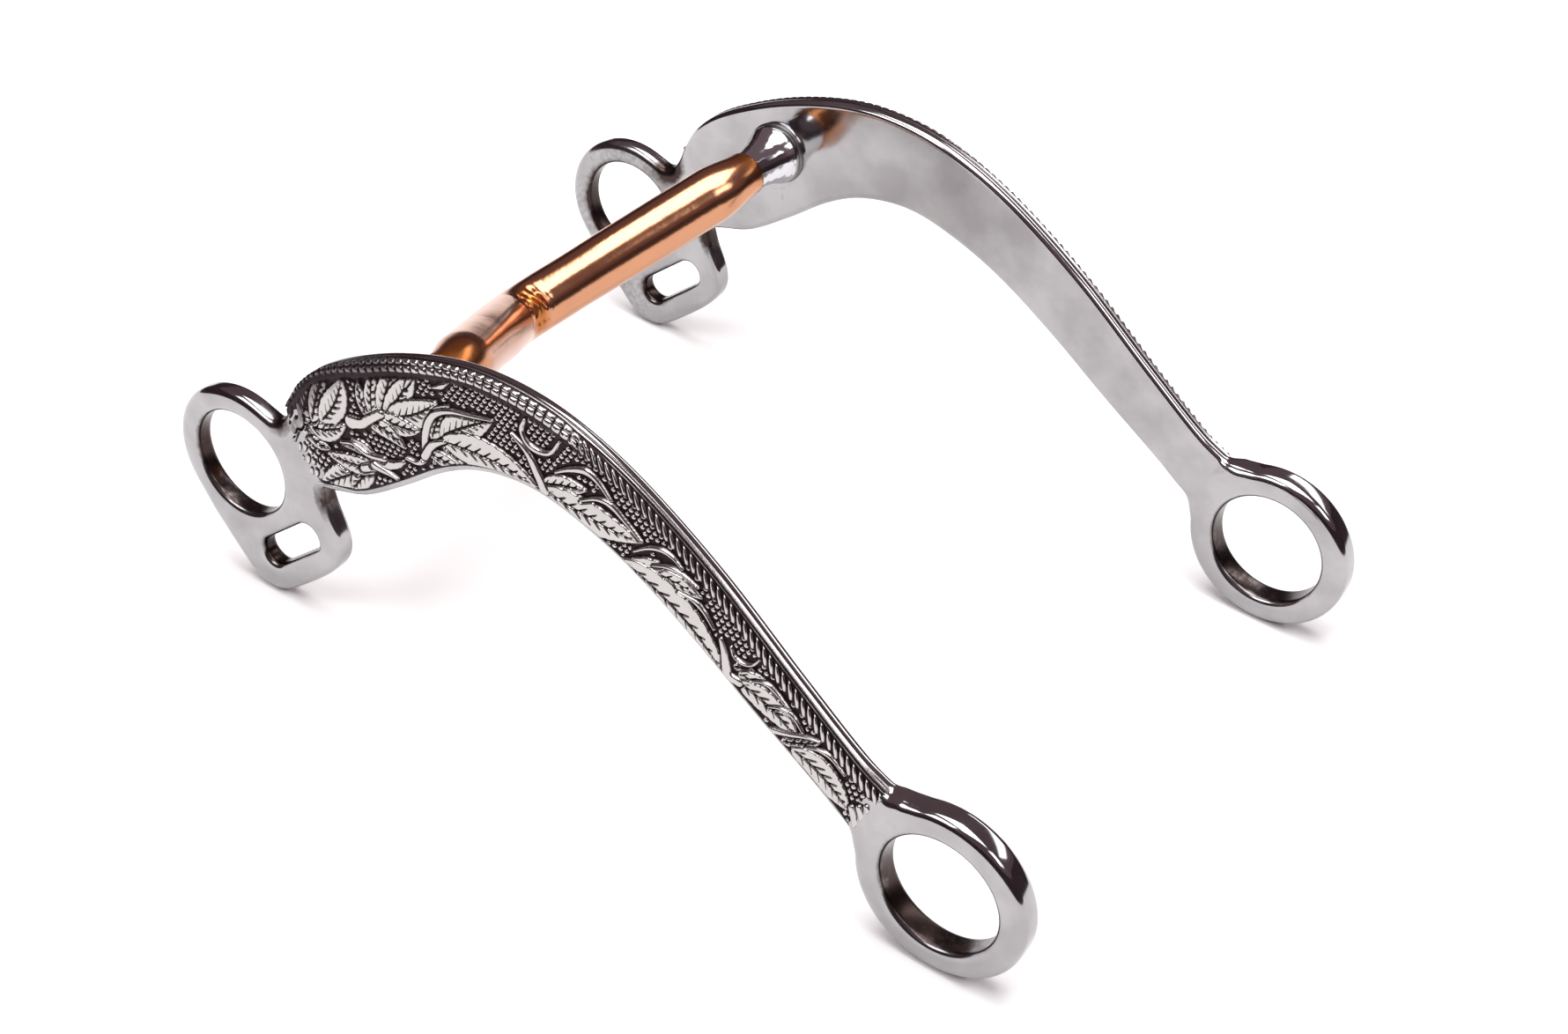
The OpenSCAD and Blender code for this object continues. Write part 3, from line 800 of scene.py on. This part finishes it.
def sleeve_points(outer, inner, around=96):
    """A circle carried along the arch, thick-walled, its ends rolled over. Its radius gives way near the
    apex: flat on the outside of the bend, and pressed into a crease with small wrinkles on the inside. Also
    returns how tarnished each point is, with painted shade on the near leg added in."""
    line, total = arch_line()
    tangent = unit(np.gradient(line, axis=0))
    normal = np.stack([-tangent[:, 1], tangent[:, 0]], -1)
    s = lengths(line) - total / 2
    a = np.arange(around) * 2 * np.pi / around
    c, k = np.cos(a)[None, :], np.sin(a)[None, :]
    S, A = s[:, None], a[None, :]
    outside, within = np.clip(c, 0, 1), np.clip(-c, 0, 1)
    tube = np.broadcast_arrays(S, np.cos(A), np.sin(A))
    wob = ripple(np.stack(tube, -1) * [0.12, 0.8, 0.8], 3)
    knot = ripple(np.stack(tube, -1) * [1.1, 7, 7], 8)
    left = total / 2 - np.abs(S)
    r = outer - 1.25 * step(11.0, 0.5, left)
    r = r - 0.6 * np.exp(-(S / 4.2) ** 2) * outside ** 3
    F = S - CREASE
    folds = 0.34 * np.sin(2.1 * S + 1.2 * np.sin(3 * A)) + 0.75 * knot
    r = r + np.exp(-(F / 6.5) ** 4) * within ** 6 * folds
    r = r - 0.5 * np.exp(-(F / 6.0) ** 2) * np.exp(-((np.abs(A - np.pi) - 0.62) / 0.2) ** 2)
    r = r + 0.11 * wob + 0.06 * np.sin(2 * A + S * 0.11)
    lip = np.clip(left / 0.4, 0, 1)
    r = r - 0.4 * (1 - np.sqrt(1 - (1 - lip) ** 2))
    r = np.minimum(r, outer + 0.4)
    ring = lambda r: np.concatenate([line[:, None] + normal[:, None] * (r * c)[..., None],
                                     (r * k)[..., None]], -1)
    grid = np.concatenate([ring(r), ring(inner + 0 * r)[::-1]])
    heat_end = np.exp(-left / 5.0) * (0.6 + 0.4 * k)
    heat_fold = 0.95 * np.exp(-(F / 5.0) ** 2) * within ** 1.2
    # painted shade: the last term makes the near leg browner, beyond 6 mm from the apex
    tint = np.clip(heat_end + heat_fold + 0.22 * step(-6, -16, S), 0, 1) + 0 * c
    values = np.concatenate([tint, tint[::-1]]).ravel()
    faces = grid_faces(len(grid), around, close_rows=True, close_cols=True)
    return on_bar(grid.reshape(-1, 3)), faces.tolist(), values


def turned(profile, around=96, uneven=0.0):
    """A closed profile of (radius, distance from the shank's face) turned about the bar's axis."""
    a = np.arange(around) * 2 * np.pi / around
    r, d = profile[:, :1], profile[:, 1:]
    c, k = np.cos(a)[None, :], np.sin(a)[None, :]
    lump = 1 + uneven * ripple(np.stack(np.broadcast_arrays(d, c, k), -1) * [1.5, 4, 4], 5)
    p = np.stack([r * lump * c, d + 0 * lump, r * lump * k], -1).reshape(-1, 3)
    return p, grid_faces(len(profile), around, close_rows=True, close_cols=True).tolist()


def at_end(p, side):
    """Sets a turned piece at the left (side 1) or right (side -1) end of the bar."""
    return np.stack([CHEEK_X + ARCH["x"] + p[:, 0], side * (INNER_Y - p[:, 1]), ARCH["z"] + p[:, 2]], -1)


def bell_profile(bell_r, neck_r, length, bore):
    """Wide rounded foot, then a concave flare: the radius falls from foot to neck as the share of the flare
    that is left, to the power 2.2."""
    a = np.radians(np.linspace(0, 125, 14))
    foot = np.stack([bell_r - FOOT + FOOT * np.sin(a), FOOT - FOOT * np.cos(a)], -1)
    u = np.linspace(0, 1, 36)[1:, None]
    r0, d0 = foot[-1]
    flare = np.hstack([neck_r + (r0 - neck_r) * (1 - u) ** 2.2, d0 + (length - d0) * u])
    return np.vstack([[bore, 0.0], foot, flare, [bore, length]])


# ---- settings
def length_setting(name, description, default, low, high):
    """A length in metres."""
    return bpy.props.FloatProperty(name=name, description=description, default=default,
                                   min=low, max=high, unit="LENGTH")


def colour_setting(name, description, default):
    """A colour as red, green and blue."""
    return bpy.props.FloatVectorProperty(name=name, description=description, default=default,
                                         size=3, subtype="COLOR", min=0, max=1)


class CurbBitSizes(bpy.types.PropertyGroup):
    sleeve_radius: length_setting("Sleeve radius", "Outer radius of the copper sleeve",
                                  0.0063, 0.005, 0.008)
    core_radius: length_setting("Core radius", "Radius of the steel bar in the sleeve",
                                0.0043, 0.003, 0.005)
    bell_radius: length_setting("Bell radius", "Largest radius of a flared bell", 0.0069, 0.005, 0.01)
    bell_length: length_setting("Bell length", "Length of a bell along the bar", 0.0095, 0.006, 0.014)


class CurbBitColours(bpy.types.PropertyGroup):
    steel: colour_setting("Steel", "Colour of the polished steel", (0.42, 0.415, 0.42))
    steel_shade: colour_setting("Steel shade", "Colour of its cloudy patches", (0.32, 0.313, 0.32))
    # the colour of the painted shade on the bores' walls, in the inner corners and on the inner face, partly
    # patina
    grime: colour_setting("Grime", "Brown left in the bores and corners", (0.05, 0.035, 0.032))
    worn: colour_setting("Worn steel", "Colour of the rubbed tooling", (0.52, 0.505, 0.495))
    # also the colour of the painted shade over the upper left end of the panel
    black: colour_setting("Antique black", "Colour in the depths of the tooling", (0.028, 0.018, 0.021))
    copper: colour_setting("Copper", "Colour of the copper sleeve", (0.56, 0.275, 0.155))
    # also the colour of the painted shade on the near leg of the sleeve
    tarnish: colour_setting("Tarnish", "Colour of the copper where it has been hot", (0.46, 0.16, 0.045))
    bell: colour_setting("Bright steel", "Colour of the bells", (0.62, 0.63, 0.65))
    stain: colour_setting("Heat stain", "Colour of the stain at the welds", (0.10, 0.055, 0.035))
    floor: colour_setting("Floor", "Colour of the floor", (0.93, 0.93, 0.93))


# ---- operators
class CURBBIT_OT_shanks(bpy.types.Operator):
    """Builds the left and right shank with their rings, curb loops and rounded edges"""

    bl_idname = "curbbit.shanks"
    bl_label = "Shanks"

    def execute(self, context):
        c = context.scene.curb_bit_colours
        steel = polished_steel(tuple(c.steel), tuple(c.steel_shade), tuple(c.grime), 0.105)
        points, faces, grime = shank_points()
        for side, name in SIDES:
            make(f"{name}_shank_body", placed(points, side), faces, f"{name}_shank", steel,
                 {"grime": grime})
        return {"FINISHED"}


class CURBBIT_OT_panels(bpy.types.Operator):
    """Builds the tooled panels: roped border, leaves, tendrils and beaded ground"""

    bl_idname = "curbbit.panels"
    bl_label = "Tooled panels"

    def execute(self, context):
        c = context.scene.curb_bit_colours
        steel = antiqued_steel(tuple(c.worn), tuple(c.black), 0.17)
        points, faces, black = panel_points()
        for side, name in SIDES:
            make(f"{name}_tooled_panel", placed(points, side), faces, f"{name}_overlay",
                 steel, {"antique": black})
        return {"FINISHED"}


class CURBBIT_OT_sleeve(bpy.types.Operator):
    """Builds the copper sleeve round the arch, with its creased apex"""

    bl_idname = "curbbit.sleeve"
    bl_label = "Copper sleeve"

    def execute(self, context):
        z, c = context.scene.curb_bit_sizes, context.scene.curb_bit_colours
        points, faces, tint = sleeve_points(z.sleeve_radius / MM, z.core_radius / MM + 0.04)
        make("copper_sleeve_body", points, faces, "copper_sleeve",
             copper(tuple(c.copper), tuple(c.tarnish), 0.18), {"tarnish": tint})
        return {"FINISHED"}


class CURBBIT_OT_bells(bpy.types.Operator):
    """Builds the flared bells at the bar's ends"""

    bl_idname = "curbbit.bells"
    bl_label = "Bells"

    def execute(self, context):
        z, c = context.scene.curb_bit_sizes, context.scene.curb_bit_colours
        steel = bright_steel("Bright steel", tuple(c.bell), tuple(c.stain), 0.1, 0.0621)
        profile = bell_profile(z.bell_radius / MM, z.core_radius / MM + 0.3, z.bell_length / MM + 3.1, 3.05)
        points, faces = turned(profile, uneven=0.006)
        for side, name in SIDES:
            make(f"{name}_bell_body", at_end(points, side), faces, f"{name}_bell", steel)
        return {"FINISHED"}


class CURBBIT_OT_welds(bpy.types.Operator):
    """Builds the uneven weld beads where the bells meet the shanks"""

    bl_idname = "curbbit.welds"
    bl_label = "Weld beads"

    def execute(self, context):
        z, c = context.scene.curb_bit_sizes, context.scene.curb_bit_colours
        steel = bright_steel("Weld steel", tuple(0.3 * v for v in c.bell), tuple(c.stain), 0.34, 0.0624)
        a = np.radians(np.linspace(0, 360, 24, endpoint=False))
        profile = np.stack([z.bell_radius / MM - 0.55 + 0.95 * np.cos(a),
                            0.62 * np.clip(np.sin(a), -0.2, 1)], -1)
        points, faces = turned(profile, uneven=0.03)
        for side, name in SIDES:
            make(f"{name}_weld_bead", at_end(points, side), faces, f"{name}_weld", steel)
        return {"FINISHED"}


class CURBBIT_OT_core(bpy.types.Operator):
    """Finishes the steel bar that runs inside the sleeve"""

    bl_idname = "curbbit.core"
    bl_label = "Core bar"

    def execute(self, context):
        c = context.scene.curb_bit_colours
        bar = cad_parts["mouthpiece_core"]
        bar.data.materials.clear()
        bar.data.materials.append(bright_steel("Bar steel", tuple(c.bell), tuple(c.stain), 0.14, 0.0632))
        return {"FINISHED"}


class CURBBIT_OT_stage(bpy.types.Operator):
    """Lays the pale floor and sets the soft lights, the surroundings and the camera"""

    bl_idname = "curbbit.stage"
    bl_label = "Stage"

    def execute(self, context):
        scene = context.scene
        bpy.ops.mesh.primitive_circle_add(vertices=96, radius=6.0, fill_type="NGON", location=(0, 0, -0.0002))
        floor = context.object
        floor.name = "floor"
        floor.data.materials.append(floor_paper(tuple(scene.curb_bit_colours.floor)))
        target = Vector((0.0, 0.0, 0.05))
        lamps = (("overhead softbox", (-0.05, -0.05, 1.3), 1.2, 1.0, 22.0),
                 ("back softbox", (0.42, 1.2, 1.0), 1.5, 0.27, 5.0),
                 ("right softbox", (1.05, -0.25, 1.15), 0.6, 0.5, 4.0),
                 ("front softbox", (-0.62, -1.0, 1.1), 0.8, 0.5, 8.0))
        for name, at, wide, high, power in lamps:
            lamp = bpy.data.lights.new(name, "AREA")
            lamp.shape, lamp.size, lamp.size_y, lamp.energy = "RECTANGLE", wide, high, power
            holder = bpy.data.objects.new(name, lamp)
            holder.location = at
            holder.rotation_euler = (target - Vector(at)).to_track_quat("-Z", "Y").to_euler()
            scene.collection.objects.link(holder)
        # a low dark wall round the bit that only its reflections show
        bpy.ops.mesh.primitive_cylinder_add(vertices=96, radius=0.46, depth=0.20, end_fill_type="NOTHING",
                                            location=(0, 0, 0.101))
        surround = context.object
        surround.name = "dark surround"
        surround.data.materials.append(floor_paper((0.05, 0.032, 0.037)))
        for ray in ("camera", "diffuse", "shadow", "transmission"):
            setattr(surround, "visible_" + ray, False)
        world = bpy.data.worlds.new("Studio")
        world.use_nodes = True
        sky = world.node_tree.nodes["Background"].inputs
        sky["Color"].default_value, sky["Strength"].default_value = (1.0, 0.68, 0.75, 1), 0.18
        scene.world = world
        cam = bpy.data.cameras.new("camera")
        cam.sensor_width, cam.lens = 36.0, 64.59
        cam.shift_x, cam.shift_y = -0.0225, -0.0674
        holder = bpy.data.objects.new("camera", cam)
        right, up = Vector((0.81801, 0.5689, 0.08498)), Vector((-0.39642, 0.45051, 0.79993))
        back = Vector((0.41679, -0.68804, 0.59404))
        turn = Matrix((right, up, back)).transposed().to_4x4()
        holder.matrix_world = Matrix.Translation((0.24887, -0.39571, 0.39487)) @ turn
        scene.collection.objects.link(holder)
        scene.camera = holder
        scene.view_settings.view_transform = "Standard"
        return {"FINISHED"}


OPERATORS = (CURBBIT_OT_shanks, CURBBIT_OT_panels, CURBBIT_OT_sleeve, CURBBIT_OT_bells, CURBBIT_OT_welds,
             CURBBIT_OT_core, CURBBIT_OT_stage)


class CURBBIT_PT_panel(bpy.types.Panel):
    """Lists the curb bit's pieces"""

    bl_idname = "CURBBIT_PT_panel"
    bl_label = "Curb bit"
    bl_space_type = "VIEW_3D"
    bl_region_type = "UI"
    bl_category = "Curb bit"

    def draw(self, context):
        for group in (context.scene.curb_bit_sizes, context.scene.curb_bit_colours):
            for key in group.__annotations__:
                self.layout.prop(group, key)
        for op in OPERATORS:
            self.layout.operator(op.bl_idname)


CLASSES = (CurbBitSizes, CurbBitColours, *OPERATORS, CURBBIT_PT_panel)


def register():
    for cls in CLASSES:
        bpy.utils.register_class(cls)
    bpy.types.Scene.curb_bit_sizes = bpy.props.PointerProperty(type=CurbBitSizes)
    bpy.types.Scene.curb_bit_colours = bpy.props.PointerProperty(type=CurbBitColours)


def unregister():
    del bpy.types.Scene.curb_bit_sizes, bpy.types.Scene.curb_bit_colours
    for cls in reversed(CLASSES):
        bpy.utils.unregister_class(cls)


def main():
    register()
    for op in OPERATORS:
        group, name = op.bl_idname.split(".")
        getattr(getattr(bpy.ops, group), name)()


if __name__ == "__main__":
    main()
